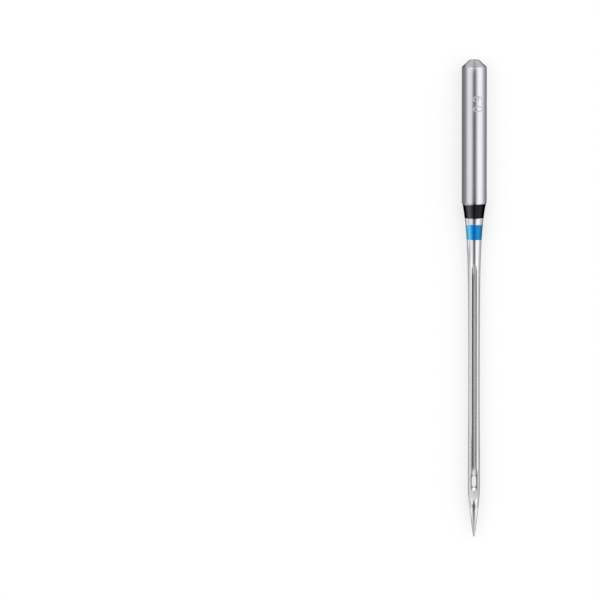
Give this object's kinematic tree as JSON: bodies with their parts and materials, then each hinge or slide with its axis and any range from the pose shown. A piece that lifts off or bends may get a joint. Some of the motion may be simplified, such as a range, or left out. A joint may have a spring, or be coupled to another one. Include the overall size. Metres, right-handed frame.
{
  "type": "sewing machine needle",
  "caption": "Flat-shank needle for a domestic overlock machine: a shank with a flat, a shoulder with colour bands, and a grooved blade with scarf, eye and point.",
  "frame": {"origin": "Middle of the needle's length and width, on the plane of the shank's flat, on which it lies.", "axes": "+Y runs along the needle to its butt and -Y to its point. +Z points out of the front, which has the long groove, and -Z out of the flat. +X is to the right, seen from above with the butt away."},
  "size_m": [0.002, 0.0388, 0.0016],
  "materials": {
    "plated_steel": "polished, chromium-plated steel",
    "black_lacquer": "glossy lacquer",
    "blue_lacquer": "glossy lacquer"
  },
  "bodies": {
    "root": {"needle": "plated_steel", "black_band": "black_lacquer", "blue_band": "blue_lacquer"}
  },
  "joints": []
}
